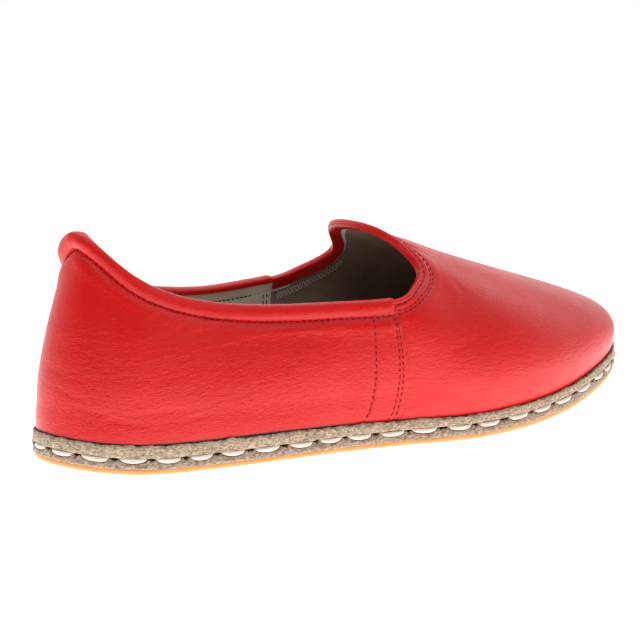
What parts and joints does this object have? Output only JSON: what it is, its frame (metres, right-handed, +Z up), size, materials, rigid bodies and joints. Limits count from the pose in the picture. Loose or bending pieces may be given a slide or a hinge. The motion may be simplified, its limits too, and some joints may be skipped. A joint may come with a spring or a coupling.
{
  "type": "slip-on shoe",
  "caption": "Low slip-on shoe with a stitched flat sole: hollow leather upper with side seams, padded collar, heel tab and bound throat, on a welt, midsole and thin rubber outsole",
  "frame": {"origin": "on the floor under the middle of the shoe's bounding box", "axes": "+X points to the toe, +Y to the inner side of the foot, +Z up"},
  "size_m": [0.267, 0.0982, 0.0884],
  "materials": {
    "red_leather": "smooth red leather with a soft sheen",
    "gum_rubber": "matt honey-coloured gum rubber",
    "sole_leather": "matt brown sole leather with a raw cut edge",
    "welt_leather": "rough brown leather with a fibrous top edge",
    "insole_leather": "pale grey-beige lining leather"
  },
  "bodies": {
    "root": {"outsole": "gum_rubber", "midsole": "sole_leather", "welt": "welt_leather", "upper": "red_leather", "insole": "insole_leather", "collar_binding": "red_leather", "throat_binding": "red_leather"}
  },
  "joints": []
}
